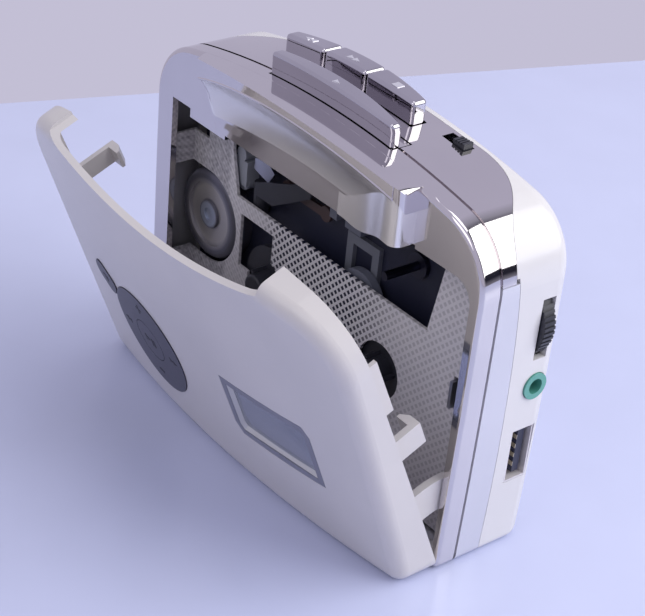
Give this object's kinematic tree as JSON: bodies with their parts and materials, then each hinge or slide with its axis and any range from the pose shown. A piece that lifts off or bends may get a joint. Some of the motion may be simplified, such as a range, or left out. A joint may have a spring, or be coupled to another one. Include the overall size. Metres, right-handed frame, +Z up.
{
  "type": "portable cassette player",
  "caption": "Portable cassette player standing open: chromed front, hinged lid with window and keypad, transport keys, headphone and USB sockets.",
  "frame": {"origin": "on the underside, half way between the front and the back of the body and between its sides", "axes": "+X to the right as the lid is seen, +Y from the lid to the back, +Z up through the transport keys"},
  "size_m": [0.1161, 0.0652, 0.0917],
  "materials": {
    "chrome_plate": "polished",
    "white_case": "gloss",
    "satin_band": "satin",
    "slate_plastic": "satin",
    "clear_window": "polished",
    "dark_chrome": "polished",
    "black_plastic": "satin",
    "green_plastic": "gloss",
    "plated_steel": "satin",
    "deck_sheet": "satin",
    "grey_plastic": "satin",
    "pale_plastic": "satin",
    "link_plastic": "satin",
    "drive_rubber": "matte",
    "bronze_bush": "satin",
    "board_laminate": "satin",
    "cell_wrap": "satin"
  },
  "bodies": {
    "case": {"front_frame": "chrome_plate", "top_cover": "chrome_plate", "side_band": "satin_band", "rear_shell": "white_case", "hold_switch": "black_plastic", "volume_pot": "grey_plastic", "headphone_socket": "green_plastic", "usb_shell": "plated_steel", "usb_tongue": "black_plastic", "circuit_board": "board_laminate", "deck_plate": "deck_sheet", "chassis": "plated_steel", "reel_posts": "plated_steel", "capstan_bush": "bronze_bush", "motor": "plated_steel", "drive_belt": "drive_rubber", "pinch_post": "plated_steel", "fork_bracket": "plated_steel", "tape_guide": "pale_plastic", "spring_lever": "plated_steel", "capacitor": "black_plastic", "record_link": "link_plastic", "brake_plate": "black_plastic", "head_guide": "grey_plastic", "lid_latch": "plated_steel", "latch_spring": "plated_steel", "battery_tray": "black_plastic", "battery_cells": "cell_wrap", "battery_contacts": "plated_steel", "screws": "plated_steel"},
    "lid": {"lid_shell": "white_case", "lid_hinge_pins": "plated_steel", "window_bezel": "slate_plastic", "window_pane": "clear_window", "keypad_board": "board_laminate"},
    "ring": {"keypad_ring": "slate_plastic"},
    "centre": {"keypad_centre": "slate_plastic"},
    "lens": {"lens_button": "slate_plastic"},
    "play": {"play_bar": "dark_chrome"},
    "rewind": {"rewind_key": "dark_chrome"},
    "forward": {"forward_key": "dark_chrome"},
    "stop": {"stop_key": "dark_chrome"},
    "hold": {"hold_knob": "black_plastic"},
    "wheel": {"volume_wheel": "black_plastic"},
    "door": {"battery_door": "white_case"},
    "reel_l": {"left_reel": "black_plastic"},
    "reel_r": {"right_reel": "black_plastic"},
    "idler": {"idler_wheel": "grey_plastic"},
    "fly": {"flywheel": "bronze_bush"},
    "pulley": {"motor_pulley": "bronze_bush"},
    "heads": {"head_plate": "plated_steel", "tape_head": "plated_steel"},
    "arm": {"pinch_arm": "grey_plastic"},
    "roller": {"pinch_roller": "drive_rubber"}
  },
  "joints": [
    {"name": "lid_close", "type": "hinge", "parent": "case", "child": "lid", "pos_m": [0, -0.0109, 0.0032], "axis": [-1, 0, 0], "range_deg": [0, 24.5]},
    {"name": "ring_press", "type": "slide", "parent": "lid", "child": "ring", "axis": [0, 0.91, 0.4147], "range_m": [0, 0.0004], "stiffness_N_per_m": 200, "springref_m": -0.001},
    {"name": "centre_press", "type": "slide", "parent": "lid", "child": "centre", "axis": [0, 0.91, 0.4147], "range_m": [0, 0.0004], "stiffness_N_per_m": 200, "springref_m": -0.001},
    {"name": "lens_press", "type": "slide", "parent": "lid", "child": "lens", "axis": [0, 0.91, 0.4147], "range_m": [0, 0.0004], "stiffness_N_per_m": 200, "springref_m": -0.001},
    {"name": "play_press", "type": "slide", "parent": "case", "child": "play", "axis": [0, 0, -1], "range_m": [0, 0.0022], "stiffness_N_per_m": 250, "springref_m": -0.001},
    {"name": "rewind_press", "type": "slide", "parent": "case", "child": "rewind", "axis": [0, 0, -1], "range_m": [0, 0.0022], "stiffness_N_per_m": 250, "springref_m": -0.001},
    {"name": "forward_press", "type": "slide", "parent": "case", "child": "forward", "axis": [0, 0, -1], "range_m": [0, 0.0022], "stiffness_N_per_m": 250, "springref_m": -0.001},
    {"name": "stop_press", "type": "slide", "parent": "case", "child": "stop", "axis": [0, 0, -1], "range_m": [0, 0.0022], "stiffness_N_per_m": 250, "springref_m": -0.001},
    {"name": "hold_slide", "type": "slide", "parent": "case", "child": "hold", "axis": [-1, 0, 0], "range_m": [0, 0.0028]},
    {"name": "volume_turn", "type": "hinge", "parent": "case", "child": "wheel", "pos_m": [0.0494, 0.007, 0.0561], "axis": [0, -1, 0], "range_deg": [0, 270]},
    {"name": "door_slide", "type": "slide", "parent": "case", "child": "door", "axis": [-1, 0, 0], "range_m": [0, 0.008]},
    {"name": "reel_l_turn", "type": "hinge", "parent": "case", "child": "reel_l", "pos_m": [-0.01945, -0.0057, 0.0306], "axis": [0, -1, 0], "continuous": true},
    {"name": "reel_r_turn", "type": "hinge", "parent": "case", "child": "reel_r", "pos_m": [0.02305, -0.0057, 0.0306], "axis": [0, -1, 0], "continuous": true},
    {"name": "idler_turn", "type": "hinge", "parent": "case", "child": "idler", "pos_m": [0.01205, -0.0031, 0.0426], "axis": [0, -1, 0], "continuous": true},
    {"name": "fly_turn", "type": "hinge", "parent": "case", "child": "fly", "pos_m": [0.027, 0.0092, 0.058], "axis": [0, -1, 0], "continuous": true},
    {"name": "pulley_turn", "type": "hinge", "parent": "case", "child": "pulley", "pos_m": [-0.0437, 0.0092, 0.0378], "axis": [0, -1, 0], "continuous": true},
    {"name": "head_drop", "type": "slide", "parent": "case", "child": "heads", "axis": [0, 0, -1], "range_m": [0, 0.004]},
    {"name": "arm_swing", "type": "hinge", "parent": "case", "child": "arm", "pos_m": [0.0385, -0.0032, 0.066], "axis": [0, -1, 0], "range_deg": [0, 32]},
    {"name": "roller_turn", "type": "hinge", "parent": "arm", "child": "roller", "pos_m": [0.028, -0.0079, 0.07], "axis": [0, -1, 0], "continuous": true}
  ],
  "couplings": [
    {"joint": "idler_turn", "follows": "reel_r_turn", "ratio": -1.2857},
    {"joint": "pulley_turn", "follows": "fly_turn", "ratio": 4.727},
    {"joint": "head_drop", "follows": "play_press", "ratio": 1.8181},
    {"joint": "arm_swing", "follows": "play_press", "rad_per_m": 253.8}
  ]
}
